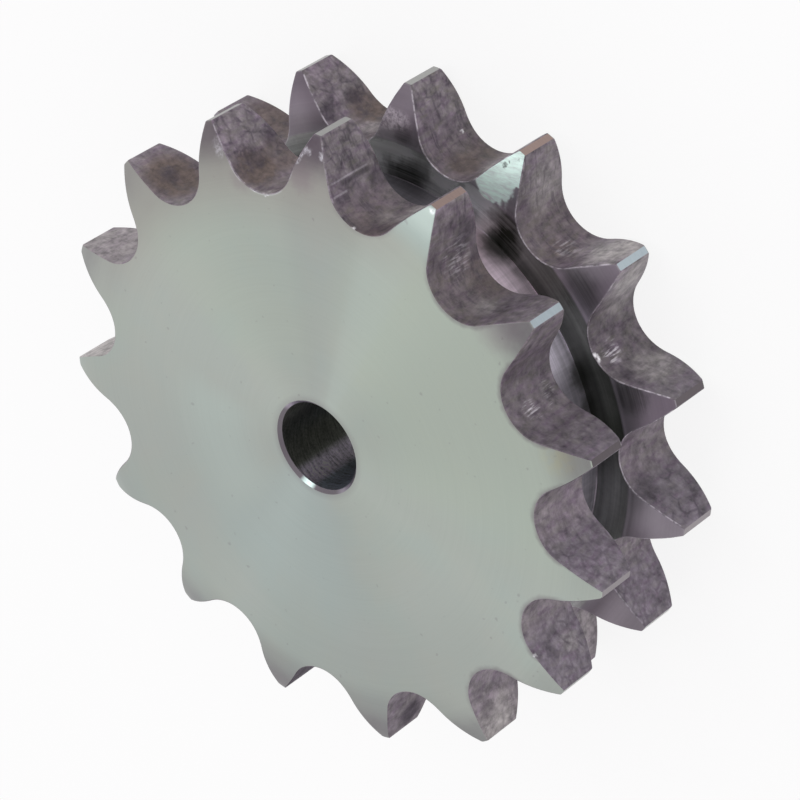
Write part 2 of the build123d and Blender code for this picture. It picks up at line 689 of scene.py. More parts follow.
@dataclass(frozen=True)
class FlankFinish:
    """The hobbed tooth gaps, under a thin coat of oil that has dried in cracks, with painted shade
    and painted highlights.
    """

    plum: Colour = colour(128, 117, 127)
    grey: Colour = colour(136, 130, 132)
    brown: Colour = colour(100, 87, 83)
    olive: Colour = colour(107, 103, 97)
    lilac: Colour = colour(128, 110, 130)
    slate: Colour = colour(118, 112, 125)
    pale: Colour = colour(178, 173, 171)
    vein: Colour = colour(70, 62, 73)
    bright: Colour = colour(206, 201, 208)
    edge: Colour = colour(180, 174, 182)
    glint: Colour = colour(236, 234, 238)
    metal: float = 0.45
    roughness: float = 0.48
    relief: float = 0.012 * MM
    slate_sides: Shapes = Side.rows((-102, 18, 44, 0.45))
    cracked_sides: Shapes = Side.rows((8, 18, 34, 0.6), (-104, 22, 42, 0.5))
    olive_sides: Shapes = Side.rows((-30, 24, 44, 0.3), (24, 18, 36, 0.2))
    brown_seats: Shapes = Side.rows((-14, 24, 42, 0.3))
    painted_shade_seats: Shapes = Side.rows((-38, 26, 44, 0.1))
    painted_shade_sides: Shapes = Side.rows((-65, 9, 14, 0.22), (-7, 5, 9, 0.12), (-32, 4, 9, 0.1))
    painted_shade_front: Shapes = Side.rows((-42, 5, 8, 0.16))
    painted_shade_back: Shapes = Side.rows((-90, 4, 8, 0.16))
    stroked: Shapes = Side.rows((-33, 6, 16, 0.35), (-5, 3, 8, 0.35))
    worn_and_lit_inside: Shapes = Side.rows((-10, 36, 60, 0.5), (-92, 20, 30, 0.6))
    worn_and_lit_outside: Shapes = Side.rows((12, 17, 22, 0.5))
    brown_marks: Shapes = Mark.rows(
        (39.7, 13.1, 12, 2, 4.4, 0.9), (39.7, 13.1, 6.5, 1.8, 4.2, 0.6),
        (39.6, 12.8, -12.6, 2, 4.4, 0.8), (31.9, 30.4, 10, 3, 6.5), (31.9, 30.4, -12, 3, 6.5, 0.8),
        (39.4, -10, 13, 2, 5, 0.3), (38.6, -8.4, -8.5, 1.2, 3.6, 0.6),
        (38.6, -8.4, -13, 1.2, 3.6, 0.4), (33, -24, 5, 1.5, 5.5, 0.4),
        (29.6, -25.8, -8.5, 1.2, 4, 0.4),
    )
    pale_patches_and_highlights: Shapes = Mark.rows(
        (39.3, -12.2, 5.6, 0.6, 2.4, 0.8), (38.8, -9.8, 10, 0.8, 2.6, 0.25),
        (40.2, -13.6, -10, 1.5, 4, 0.65), (38.9, 8.8, -9.5, 0.8, 3, 0.4),
        (39.2, -12, 8.4, 0.4, 2, 0.4), (31, -27.2, 10, 0.8, 2.8, 0.35),
        (39.3, 8.2, 15, 0.5, 1.8, 0.5), (33, -33.5, -10.6, 2, 6, 0.65),
        (16.6, -40.5, -10.5, 2, 5, 0.5), (27, -35.2, -10.5, 2.5, 6, 0.4),
        (39.3, -21.2, -11, 2, 5, 0.3), (16.6, 43, 10.5, 3, 10, 0.4), (-2.3, 46, 11.7, 4, 12, 0.9),
        (-38.3, -29.6, 10.5, 2, 7, 0.6), (-35.4, -29.2, -12.5, 2, 6, 0.35),
        (-20, -40.5, 8, 0.8, 2.4, 0.35),
    )
    dark_marks: Shapes = Mark.rows(
        (-45.6, 7, 12, 4, 9, 0.98), (-45.8, -11.8, 9, 1.2, 3.4, 0.6), (-44.3, -12, 10.8, 4, 9, 0.3),
        (-35.4, -29, 12.2, 0.5, 2.4, 0.35), (41.1, 14.4, -5.8, 0.8, 2, 0.7),
        (41.2, 14.6, -11.6, 0.7, 2, 0.6), (40.4, 13.8, 10.6, 0.6, 2, 0.45),
        (41.8, 15.1, 6, 0.6, 2.2, 0.4), (32, 30.8, 10.5, 0.6, 2.2, 0.4),
        (41.7, -4.3, 5, 0.8, 2.6, 0.5), (38.9, -21, 7, 1.2, 3.4, 0.6),
        (35.3, -21.1, 4.8, 0.5, 1.6, 0.55), (31.7, -30.1, 8, 1, 3.4, 0.3),
        (26.1, -34.4, 7.4, 1.4, 3.6, 0.35), (16.9, -38.8, -6.6, 0.5, 1.8, 0.7),
        (18.2, -38.6, -8.6, 0.4, 1.6, 0.45), (-0.7, -42.8, -6.4, 0.8, 2.8, 0.45),
    )
    scuffs: Shapes = Mark.rows(
        (18.5, -35.5, 10.8, 0.6, 2, 0.7), (19.3, -34.9, 6.4, 0.5, 1.7, 0.35),
        (17.9, -36.3, 7.5, 0.4, 1.4, 0.25), (36.6, -20.8, 9, 1.2, 4, 0.4),
        (18.7, -35.4, -7.6, 0.6, 2.2, 0.9), (31, -26, -9.6, 0.8, 3, 0.35),
    )
    glints: Shapes = Mark.rows(
        (19.3, -34.9, -4.6, 0.1, 0.6), (18.6, -35.3, -4.7, 0.1, 0.6),
        (-19, -39.6, 15, 0.1, 0.5, 0.9), (39, -8, 15.1, 0.1, 0.5, 0.8),
        (41.1, -4.7, -12.8, 0.1, 0.4, 0.7),
    )
    scratches: Shapes = Score.rows(
        (44, -4.4, 10.6, 8.4, 0.2, 0.5), (42.3, -5.5, 13.2, 3.2, 0.2, 0.45),
    )
    shadows: Shapes = Score.rows((43.4, -4.8, 9.5, 7, 0.5, 0.6), (41.7, -5.9, 13.2, 3, 0.5, 0.6))

    def material(self) -> bpy.types.Material:
        """Builds the material.

        Returns:
            The material.
        """
        s = Surface("hobbed_flank", self.plum)
        # The skin: what is drawn out along the bore, the brown seats, and painted shade on some
        # sides, seats and rows.
        cloud = s.noise(s.place, 0.18, 3, 0.6)
        blotch = s.noise(s.place, 0.55, 3, 0.6)
        grain = s.noise(s.place, 1.2, 4, 0.7)
        drawn = s.noise(s.stretched(1.1, 1.1, 0.4), 1, 3, 0.65)
        low = s.radius.step(43, 40.2)
        s.lay(cloud.step(0.38, 0.62) * 0.6, self.grey)
        s.lay(s.on(self.slate_sides) * (1 - low), self.slate)
        s.lay(drawn.step(0.5, 0.34) * 0.6, self.lilac)
        tinted = 0.3 + s.on(self.olive_sides)
        s.lay(drawn.step(0.5, 0.66) * tinted, self.olive)
        browned = s.on(self.brown_marks) + low * s.on(self.brown_seats)
        s.lay(browned * blotch.step(0.15, 0.52), self.brown)
        # Pale patches, some of them painted highlight.
        s.lay(s.on(self.pale_patches_and_highlights), self.pale)
        dark = s.on(self.dark_marks).clamped()
        s.lay(dark, self.vein)
        front, back = s.z.step(-1, 1), s.z.step(1, -1)
        # Painted shade: darker on some sides, at some seats, and on one side of each row.
        painted_shade = s.on(self.painted_shade_sides) + low * s.on(self.painted_shade_seats)
        painted_shade = painted_shade + front * s.on(self.painted_shade_front) + back * s.on(self.painted_shade_back)
        s.tone(1 - painted_shade)

        # The cracks in the dried oil, and the strokes of the hob.
        cells = s.vector_math("MULTIPLY", s.warped(0.5, 0.9), (0.5, 0.5, 0.55))[0]
        inputs = {"Vector": cells, "Scale": 1.0}
        network = s.add("ShaderNodeTexVoronoi", inputs, feature="DISTANCE_TO_EDGE")
        veins = Number(s, network.outputs["Distance"]).step(0.17, 0.01)
        held = s.noise(s.place, 0.45, 2).step(0.4, 0.58)
        cracked = (0.2 + s.on(self.cracked_sides)) * (1 - 0.7 * low)
        veins = veins * cracked * (0.15 + 0.75 * held) * grain.step(0.3, 0.6)
        s.lay(veins, self.vein)
        strokes = s.noise(s.stretched(0.25, 0.25, 1.2), 1, 2, 0.6).step(0.52, 0.7)
        s.lay(strokes * (0.2 + s.on(self.stroked)), self.vein)

        # Scuffs and scratches.
        rub = s.noise(s.stretched(2.4, 2.4, 0.35), 1, 2, 0.6)
        scuffed = s.on(self.scuffs)
        s.lay(scuffed * rub.step(0.48, 0.64), self.bright)
        s.lay(scuffed * rub.step(0.44, 0.34) * 0.6, self.vein)
        s.lay(s.on(self.shadows), self.vein)
        s.lay(s.on(self.scratches), self.edge)

        # The edges that the chain has worn bright, painted highlights along them on some sides,
        # painted glints, and the fine mottle over all of it.
        wear = s.attribute("wear") * s.radius.step(49.5, 49.2)
        chatter = s.noise(s.place, 0.9, 2, 0.7).step(0.4, 0.58)
        inner = abs(s.z).step(9, 8)
        inside = inner * back * (0.3 + s.on(self.worn_and_lit_inside))
        outside = (1 - inner) * front * s.on(self.worn_and_lit_outside)
        s.lay(wear * (inside + outside) * (0.2 + 0.8 * chatter), self.edge)
        s.lay(s.on(self.glints), self.glint)
        mottle = 1.2 * (grain - 0.5) + 1.9 * (blotch - 0.5) + 0.9 * (drawn - 0.5)
        s.tone(1.0 + mottle)
        relief = {"Strength": 1, "Distance": self.relief, "Height": grain - 0.4 * veins}
        return s.finish(
            {
                "Metallic": self.metal * (1 - dark),
                "Roughness": self.roughness + 0.12 * (cloud - 0.5) + 0.4 * dark,
                "Normal": s.first("ShaderNodeBump", relief),
            }
        )


@dataclass(frozen=True)
class GrooveFinish:
    """The groove between the rows: its floor, its walls and the inner sides of the teeth, with
    painted shade, painted shadows, painted highlights and a painted reflection.
    """

    floor: Colour = colour(188, 182, 194)
    wall: Colour = colour(186, 188, 186)
    pink: Colour = colour(206, 178, 188)
    painted_wall_shade: Colour = colour(58, 64, 52)
    shadow: Colour = colour(50, 54, 46)
    curve: Colour = colour(190, 184, 192)
    painted_shade_tone: Colour = colour(134, 126, 134)
    mint: Colour = colour(224, 248, 240)
    line: Colour = colour(208, 200, 208)
    speck: Colour = colour(90, 96, 94)
    metal: float = 0.95
    roughness: float = 0.30
    curve_roughness: float = 0.38
    floor_radius: float = 35.80
    corner_radius: float = 35.77
    corner_level: float = 4.3
    curve_radius: float = 41.3
    floor_roughness: float = 0.55
    floor_painted_highlight: Shapes = Side.rows((-46, 8, 20))
    floor_pink_highlight: Shapes = Side.rows((-35, 8, 16, 0.8))
    floor_painted_shade: Shapes = Side.rows((6, 14, 30, 0.95))
    painted_wall_shade_sides: Shapes = Side.rows((-58, 16, 34, 0.78), (-70, 6, 12, 0.04), (-100, 14, 30, 0.25))
    painted_curve_shade: Shapes = Side.rows((-122, 14, 26), (6, 12, 20, 0.6), (28, 6, 12, 0.35))
    lit_corner: Shapes = Side.rows(
        (-94, 12, 22, 0.7), (-52, 2, 8, 0.4), (-24, 1.5, 4, 0.9), (-4, 8, 12, 0.25),
    )
    painted_mint_reflection: Shapes = Mark.rows((44.3, -19.6, -5.9, 3, 4.6), (40.6, -17, -4.6, 2.2, 4.2, 0.9))
    pitted: Shapes = Mark.rows(
        (44.6, 1.8, -4.6, 0.9, 2.4, 0.8), (44.8, -0.6, -4.7, 0.6, 1.8, 0.6),
        (43.4, 4, -4.4, 0.5, 2, 0.5), (41.4, 4.4, -4.3, 0.6, 2, 0.45),
        (41.6, -4.2, -4.3, 0.4, 1.4, 0.3),
    )
    painted_shadows: Shapes = Mark.rows(
        (31.6, -19.4, -4.3, 1.4, 3.6, 0.9), (35, -19.8, -4.3, 1.2, 3, 0.75),
        (36.8, -1.4, -4.3, 1.4, 4.2, 0.85), (42.7, -0.6, -4.4, 0.7, 2.2, 0.5),
        (14.9, -40.9, -4.5, 1.4, 3.8, 0.6), (28.6, -32.2, -4.4, 1.6, 4.2, 0.45),
        (31.6, -16.8, -4.3, 1, 2.6, 0.5),
    )
    lit: Shapes = Mark.rows(
        (33.6, -15, -4.3, 0.8, 2.4, 0.6), (37.8, -14.4, -4.3, 1.4, 3.6, 0.9),
        (36.2, -6.8, -4.3, 0.8, 3, 0.9), (36.6, 3.8, -4.3, 0.8, 2.6, 0.7),
        (38.8, -8.4, -4.3, 0.8, 3.4), (40.4, 0, -4.3, 0.8, 4, 0.9), (39.2, 5.4, -4.3, 1, 4),
    )
    floor_painted_shadows: Shapes = Mark.rows(
        (31, -17.9, -4.6, 1.2, 4.2, 0.85), (28.2, -22, -4.6, 0.6, 2.2, 0.4),
        (15.2, -32.4, -4.8, 1.2, 3.2, 0.7), (11, -34, -4.6, 0.8, 2.6, 0.6),
    )
    specks: Shapes = Mark.rows(
        (43.6, -18.1, -5.3, 0.15, 0.4, 0.8), (44.9, -20.1, -6.1, 0.15, 0.4, 0.8),
        (44, -18.8, -5.5, 0.12, 0.35, 0.8),
    )

    def material(self) -> bpy.types.Material:
        """Builds the material.

        Returns:
            The material.
        """
        s = Surface("turned_groove", self.wall)
        on_floor = s.radius.step(self.floor_radius + 0.01, self.floor_radius - 0.01)
        on_curve = s.radius.step(self.curve_radius - 0.3, self.curve_radius + 0.2)
        level = s.radius + abs(s.z)
        rings = s.noise(s.arcs(level * 2.2, 1.6), 1, 2, 0.6)
        wide = s.noise(s.arcs(level * 0.5, 1.6), 1, 1, 0.5)

        # The floor, with painted highlight and painted shade on some sides, which is laid on last.
        lightness = 0.55 + 0.9 * s.on(self.floor_painted_highlight) - 0.35 * s.on(self.floor_painted_shade)
        floor = s.scaled(self.floor, lightness)
        across = s.noise(s.vector(s.x * 1.1, s.y * 1.1, s.z * 0.2), 1, 3, 0.65)
        floor = s.scaled(floor, 0.85 + 0.3 * across)
        # A pink painted highlight, and painted shadows in dark patches.
        floor = s.mix(s.on(self.floor_pink_highlight) * 0.6, floor, self.pink)
        floor = s.mix(s.on(self.floor_painted_shadows), floor, self.shadow)
        # The wall, with painted shade by side and towards the floor and painted light at the lit
        # marks, and the curved inner sides of the teeth.
        painted_depth_shade = 0.62 + 0.63 * s.radius.step(36.4, 39.4)
        s.lay(s.on(self.painted_wall_shade_sides), self.painted_wall_shade)
        s.tone(painted_depth_shade * (0.3 + 1.3 * wide) * (1 + 1.6 * s.on(self.lit)))
        # Painted shade: the curved sides darken towards the tips, and more on some sides.
        curve = s.mix(s.radius.step(42.5, 46.5) * 0.55, self.curve, self.painted_shade_tone)
        curve = s.mix(s.on(self.painted_curve_shade) * s.radius.step(40.5, 43), curve, self.painted_shade_tone)
        curve = s.scaled(curve, 1 - 0.2 * s.radius.step(45.5, 48.5))
        s.lay(on_curve, curve)
        # Painted shadows: dark patches on the wall, streaked with the rings.
        painted_shadow = s.on(self.painted_shadows) * (0.6 + 0.4 * rings.step(0.62, 0.38))
        s.lay(painted_shadow, self.shadow)
        pits = s.noise(s.place, 1.6, 3, 0.7).step(0.4, 0.6)
        s.lay(s.on(self.pitted) * pits, self.line)
        # Painted reflection: a bright mint patch on one tooth's inner side, with less metal there.
        ragged = s.noise(s.place, 0.9, 3, 0.7)
        painted_mint_reflection = (s.on(self.painted_mint_reflection) + 0.8 * (ragged - 0.5)).step(0.2, 0.8)
        scratch = s.noise(s.stretched(2.4, 0.5, 0.5), 1, 3, 0.65)
        s.lay(painted_mint_reflection * (0.85 + 1.5 * (scratch - 0.5)), self.mint)
        s.lay(s.on(self.specks), self.speck)
        s.lay(on_floor, floor)
        turning = 0.25 + 0.75 * s.radius.step(42, 41)
        s.tone(1 + turning * (0.8 * rings + 0.4 * across - 0.6))

        # Painted highlights: bright lines at the foot of the wall and where the curve begins, on
        # some sides.
        broken = s.noise(s.place, 0.35, 2).step(0.4, 0.62)
        by_corner = abs(s.radius - self.corner_radius).step(0.2, 0.05)
        by_corner = by_corner * abs(s.z).step(self.corner_level - 0.2, self.corner_level - 0.08)
        lit = s.on(self.lit_corner)
        ridge = abs(s.radius - self.curve_radius - 0.3).step(0.3, 0.1)
        s.lay((by_corner + ridge) * lit * (0.3 + 0.7 * broken), self.line)
        rough = self.roughness + (self.curve_roughness - self.roughness) * on_curve
        rough = rough + (self.floor_roughness - self.roughness) * on_floor
        rough = rough + 0.1 * (rings - 0.5)
        return s.finish({"Metallic": self.metal - 0.6 * painted_mint_reflection, "Roughness": rough})


@dataclass(frozen=True)
class LandFinish:
    """The tips of the teeth, which are what is left of the turned rim, some of them tinted as
    painted reflections.
    """

    steel: Colour = colour(168, 168, 166)
    painted_reflections: tuple[tuple[int, Colour], ...] = (
        (14, colour(158, 138, 132)),
        (13, colour(180, 192, 199)),
        (12, colour(105, 98, 102)),
        (11, colour(154, 147, 151)),
    )
    roughness: float = 0.35
    front_painted_shade: float = 0.12

    def material(self) -> bpy.types.Material:
        """Builds the material.

        Returns:
            The material.
        """
        s = Surface("turned_rim", self.steel)
        tooth = s.attribute("tooth")
        # Painted reflections: a lighter, darker or warmer tint on the lands of some teeth.
        for number, tint in self.painted_reflections:
            s.lay(abs(tooth - number).step(0.6, 0.4), tint)
        lines = s.noise(s.stretched(0.8, 0.8, 4), 1, 3, 0.6)
        # Painted shade: the lands of the front row are darker.
        s.tone(0.87 + 0.2 * lines - self.front_painted_shade * s.z.step(-1, 1))
        return s.finish({"Metallic": 1, "Roughness": self.roughness})


@dataclass(frozen=True)
class BoreFinish:
    """The bored hole, under a coat of old grease, and its broken edges, with painted sheen, shade
    and highlights.
    """

    grease: Colour = colour(154, 156, 149)
    sheen: Colour = colour(238, 226, 248)
    slate: Colour = colour(172, 180, 196)
    edge: Colour = colour(110, 104, 110)
    glint: Colour = colour(216, 238, 234)
    metal: float = 0.92
    roughness: float = 0.34
    edge_level: float = 14.66
    lit: Shapes = Side.rows((158, 2, 20))
    painted_slate_reflection: Shapes = Side.rows((-166, 20, 36, 0.9))
    dim: Shapes = Side.rows((110, 20, 40, 0.52))
    edge_lit: Shapes = Side.rows((164, 4, 12, 0.75))
    edge_painted_highlight: Shapes = Side.rows((14, 20, 44, 0.7), (-110, 20, 45, 0.3))

    def material(self) -> bpy.types.Material:
        """Builds the material.

        Returns:
            The material.
        """
        s = Surface("bored_hole", self.grease)
        slant = s.vector(s.x * 0.4, s.y * 0.4, s.z * 3.2 + s.x * 1.2)
        cuts = s.noise(slant, 1, 3, 0.65)
        # Painted reflections: a slate-blue band on one side and a bright sheen on another.
        s.lay(s.on(self.painted_slate_reflection), self.slate)
        s.lay(s.on(self.lit), self.sheen)
        grit = s.noise(s.place, 2.6, 3, 0.7)
        # Painted shade: darker lower down the bore and on one side.
        painted_depth_shade = 0.75 + 0.25 * s.z.step(5, 11)
        s.tone((2 * cuts + 1.6 * grit - 0.8) * painted_depth_shade * (1 - s.on(self.dim)))
        chamfer = abs(s.z).step(self.edge_level - 0.05, self.edge_level + 0.02)
        # Painted highlights on the broken edge: a pale sheen on two sides and a glint on one.
        edge = s.mix(s.on(self.edge_painted_highlight), self.edge, self.sheen)
        edge = s.mix(s.on(self.edge_lit), edge, self.glint)
        s.lay(chamfer, edge)
        rough = self.roughness - 0.06 * chamfer
        return s.finish({"Metallic": self.metal, "Roughness": rough})


class Half:
    """Adds the vertices and faces of the upper half of the wheel, or of its mirror image below."""

    def __init__(self, build: bmesh.types.BMesh, way: int) -> None:
        """Finds the layers of the mesh.

        Args:
            build: The mesh.
            way: 1 for the upper half, and -1 for the lower.
        """
        self.build = build
        self.way = way
        self.finishes = build.faces.layers.int.get("finish") or build.faces.layers.int.new("finish")
        self.wear = build.verts.layers.float.get("wear") or build.verts.layers.float.new("wear")

    def vert(self, place: Vector, wear: float = 0.0) -> Vert:
        """Adds a vertex.

        Args:
            place: Its place in the upper half.
            wear: How worn the edge is there, from 0 to 1.

        Returns:
            The vertex.
        """
        made = self.build.verts.new((place.x, place.y, place.z * self.way))
        made[self.wear] = wear
        return made

    def face(self, corners: list[Vert], finish: Finish) -> None:
        """Adds a face.

        Args:
            corners: Its corners, which run anticlockwise in the upper half.
            finish: The finish of the face.
        """
        made = self.build.faces.new(corners[:: self.way])
        made[self.finishes] = int(finish)
        made.smooth = True

    def strip(self, rows: tuple[list[Vert], list[Vert]], finish: Finish, turn: int = 1) -> None:
        """Joins two rows of vertices by faces.

        Args:
            rows: The rows.
            finish: The finish of the faces.
            turn: -1 where the faces look the other way.
        """
        first, second = rows
        for corners in zip(first, second, second[1:], first[1:]):
            self.face(list(corners)[::turn], finish)


@dataclass(frozen=True)
class RingPoint:
    """A point of the line round a tooth, and the finish of the strip that follows it."""

    place: Vector
    wear: float
    finish: Finish


@dataclass
class Wheel:
    """The sprocket: two rows of teeth on one plate, with a groove between them and a bore."""

    outer_face: float
    form: ToothForm = field(default_factory=ToothForm)
    inner_width: float = 11.68 * MM
    width_share: float = 0.93
    plate_depth: float = 16.13 * MM
    plate_share: float = 0.52
    side_curve_depth: float = 2.1 * MM
    groove_clearance: float = 0.65 * MM
    bore_radius: float = 7.0 * MM
    bore_edge_break: float = 0.5 * MM
    edge_round: float = 0.12 * MM
    round_steps: int = 3
    columns: tuple[float, ...] = (-0.6, -0.2, 0.2, 0.6)
    hub_rings: tuple[float, ...] = (0.98, 0.86, 0.66, 0.45, 0.27)
    seam: float = 0.001 * MM
    joining_distance: float = 0.002 * MM
    sharp_angle: float = radians(38)

    def __post_init__(self) -> None:
        """Works out the levels and circles from the chain's sizes, and the points across a tooth."""
        polygon = self.form.chain_pitch / (2 * tan(self.form.half_tooth))
        taken = self.plate_share * self.plate_depth
        self.groove_radius = polygon - taken - self.groove_clearance
        self.groove_face = self.outer_face - self.width_share * self.inner_width
        pitch, depth = self.form.chain_pitch, self.side_curve_depth
        self.curve_start = self.form.tip_radius - sqrt(2 * pitch * depth - depth**2)
        self.across = len(self.columns) + 4

    def side(self, point: Vector) -> float:
        """How far a tooth's side has curved in at a point."""
        run = max(0.0, hypot(point.x, point.y) - self.curve_start)
        return self.form.chain_pitch - sqrt(self.form.chain_pitch**2 - run**2)

    def _ring(self, station: Station) -> list[RingPoint]:
        """The closed line round the tooth at one station.

        Args:
            station: The place along the flank.

        Returns:
            The points: across the outer side, down the upper flank, back across the groove's
            side and up the lower flank.
        """
        soft = self.edge_round

        def under(point: Vector, drop: float) -> Vector:
            """Sets a point at a drop under the tooth's outer side."""
            level = self.outer_face - self.side(point) - drop - station.inset
            return Vector((point.x, point.y, level))

        def over(point: Vector, lift: float) -> Vector:
            """Sets a point at a lift above the tooth's side in the groove."""
            level = self.groove_face + self.side(point) + lift + station.inset
            return Vector((point.x, point.y, level))

        half = [station.along(share) for share in self.columns if share > 0]
        half += [station.spot(2 * soft), station.spot(soft)]
        across = [mirrored(p) for p in reversed(half)] + half
        turns = parts(pi / 2, self.round_steps, 1)
        corner = [(soft * (1 - sin(a)), soft * (1 - cos(a)), 1.0) for a in turns]
        corner.append((0.0, 2 * soft, 0.0))
        top = [(under(station.spot(depth), drop), wear) for depth, drop, wear in corner]
        foot = [(over(station.spot(depth), lift), wear) for depth, lift, wear in reversed(corner)]
        middle = [(top[-1][0].lerp(foot[0][0], share), 0.0) for share in (1 / 3, 2 / 3)]
        upper = top + middle + foot
        lower = [(mirrored(p), wear) for p, wear in reversed(upper)]

        ring = self._strip([(under(p, 0.0), 0.0) for p in across], Finish.FACE)
        ring += self._strip(upper, Finish.FLANK)
        ring += self._strip([(over(p, 0.0), 0.0) for p in reversed(across)], Finish.GROOVE)
        ring += self._strip(lower, Finish.FLANK)
        return [RingPoint(p.place, max(p.wear, station.wear), p.finish) for p in ring]

    @staticmethod
    def _strip(points: list[tuple[Vector, float]], finish: Finish) -> list[RingPoint]:
        """Gives a side of the ring its finish. The strip past its last point is rounded edge.

        Args:
            points: The points and their wear.
            finish: The side's finish.

        Returns:
            The ring's points on that side.
        """
        strip = [RingPoint(place, wear, finish) for place, wear in points]
        if finish is not Finish.FLANK:
            for end, follows in ((0, finish), (-1, Finish.FLANK)):
                strip[end] = RingPoint(strip[end].place, 1.0, follows)
        return strip

    def sector(self) -> bpy.types.Mesh:
        """Draws one tooth of both rows with its share of the plate.

        Returns:
            The mesh, from the middle of one gap to the middle of the next.
        """
        build = bmesh.new()
        points = [self._ring(s) for s in self.form.stations(self.edge_round, self.round_steps)]
        for way in (1, -1):
            half = Half(build, way)
            rings = [[half.vert(p.place, p.wear) for p in ring] for ring in points]
            for low, high, ring in zip(rings, rings[1:], points):
                for i, point in enumerate(ring):
                    j = (i + 1) % len(ring)
                    half.face([low[i], high[i], high[j], low[j]], point.finish)
            self._cap(rings[-1], half)
            self._plate(rings[0], half)
        bmesh.ops.remove_doubles(build, verts=build.verts, dist=self.seam)
        mesh = bpy.data.meshes.new("one_tooth")
        build.to_mesh(mesh)
        build.free()
        return mesh

    def _cap(self, ring: list[Vert], half: Half) -> None:
        """Closes the tip of the tooth with its land.

        Args:
            ring: The last ring's vertices.
            half: The half of the wheel.
        """
        across, down = self.across, len(ring) // 2 - self.across
        top, upper = ring[:across], ring[across : across + down]
        foot, lower = ring[across + down : 2 * across + down][::-1], ring[-down:][::-1]
        rows = [top]
        for left, right in zip(lower, upper):
            inner = [half.vert(Vector((v.co.x, v.co.y, abs(left.co.z)))) for v in top]
            rows.append([left, *inner, right])
        rows.append(foot)
        for high, low in zip(rows, rows[1:]):
            if len(high) < len(low):
                half.face([high[0], low[0], low[1]], Finish.LAND)
                half.face([high[-1], low[-2], low[-1]], Finish.LAND)
                low = low[1:-1]
            elif len(high) > len(low):
                half.face([high[0], low[0], high[1]], Finish.LAND)
                half.face([high[-2], low[-1], high[-1]], Finish.LAND)
                high = high[1:-1]
            half.strip((high, low), Finish.LAND)

    def _plate(self, ring: list[Vert], half: Half) -> None:
        """Draws the tooth's share of the plate, the bore and the groove's floor.

        Args:
            ring: The first ring's vertices, at the bottom of the gap.
            half: The half of the wheel.
        """
        top = ring[1 : self.across - 1]
        foot = ring[len(ring) // 2 : len(ring) // 2 + self.across][::-1][1:-1]
        broken = self.bore_radius + self.bore_edge_break
        root, face = self.form.root_radius, self.outer_face
        hub = [(root * share, face, Finish.FACE) for share in self.hub_rings]
        hub.append((broken, face, Finish.FACE))
        hub.append((self.bore_radius, face - self.bore_edge_break, Finish.BORE))
        hub += [(self.bore_radius, face * share, Finish.BORE) for share in (0.5, 0.0)]
        groove = [(root * self.hub_rings[0], self.groove_face, Finish.GROOVE)]
        groove += [(self.groove_radius, self.groove_face * s, Finish.GROOVE) for s in (1, 0.5, 0.0)]
        turns = [self.form.half_tooth * share for share in (-1, *self.columns, 1)]
        for last, path, turn in ((top, hub, 1), (foot, groove, -1)):
            for radius, level, finish in path:
                row = [half.vert(polar(radius, t, level)) for t in turns]
                half.strip((row, last), finish, turn)
                last = row

    def ring_tree(self, finishes: dict[Finish, bpy.types.Material]) -> bpy.types.NodeTree:
        """Builds the Geometry Nodes tree that sets the tooth round the bore.

        Args:
            finishes: The material of each finish.

        Returns:
            The tree, with the number of teeth and the joining distance as inputs.
        """
        tree = bpy.data.node_groups.new("teeth_round_the_bore", "GeometryNodeTree")
        sockets = (
            ("Tooth", "NodeSocketGeometry", "INPUT"),
            ("Teeth", "NodeSocketInt", "INPUT"),
            ("Joining Distance", "NodeSocketFloat", "INPUT"),
            ("Wheel", "NodeSocketGeometry", "OUTPUT"),
        )
        for name, kind, way in sockets:
            tree.interface.new_socket(name, in_out=way, socket_type=kind)
        g = Nodes(tree)
        given = g.add("NodeGroupInput").outputs
        index = Number(g, g.add("GeometryNodeInputIndex").outputs[0])
        turn = g.vector(0.0, 0.0, index * (2 * pi) / Number(g, given["Teeth"]))
        points = g.first("GeometryNodePoints", {"Count": given["Teeth"]})
        placed = {"Points": points, "Instance": given["Tooth"], "Rotation": turn}
        whole = g.first("GeometryNodeInstanceOnPoints", placed)
        numbered = {"Geometry": whole, "Name": "tooth", "Value": index}
        settings = {"data_type": "FLOAT", "domain": "INSTANCE"}
        whole = g.first("GeometryNodeStoreNamedAttribute", numbered, **settings)
        whole = g.first("GeometryNodeRealizeInstances", {"Geometry": whole})
        joined = {"Geometry": whole, "Distance": given["Joining Distance"]}
        whole = g.first("GeometryNodeMergeByDistance", joined)
        number = g.first("GeometryNodeInputNamedAttribute", {"Name": "finish"}, data_type="INT")
        settings = {"data_type": "INT", "operation": "EQUAL"}
        for finish, material in finishes.items():
            chosen = g.first("FunctionNodeCompare", {2: number, 3: int(finish)}, **settings)
            painted = {"Geometry": whole, "Selection": chosen, "Material": material}
            whole = g.first("GeometryNodeSetMaterial", painted)
        g.add("NodeGroupOutput", {"Wheel": whole})
        return tree

    def build(self, finishes: dict[Finish, bpy.types.Material]) -> bpy.types.Object:
        """Makes the wheel as one plain mesh.

        Args:
            finishes: The material of each finish.

        Returns:
            The wheel's object.
        """
        maker = linked("tooth_maker", self.sector())
        modifier = maker.modifiers.new("teeth", "NODES")
        modifier.node_group = self.ring_tree(finishes)
        values = {"Teeth": self.form.teeth, "Joining Distance": self.joining_distance}
        for item in modifier.node_group.interface.items_tree:
            if item.in_out == "INPUT" and item.name in values:
                modifier[item.identifier] = values[item.name]
        graph = bpy.context.evaluated_depsgraph_get()
        mesh = bpy.data.meshes.new_from_object(
            maker.evaluated_get(graph), preserve_all_data_layers=True, depsgraph=graph
        )
        maker.modifiers.remove(modifier)
        bpy.data.objects.remove(maker)
        mesh.name = "sprocket_wheel"
        mesh.set_sharp_from_angle(angle=self.sharp_angle)
        return linked("sprocket_wheel", mesh)


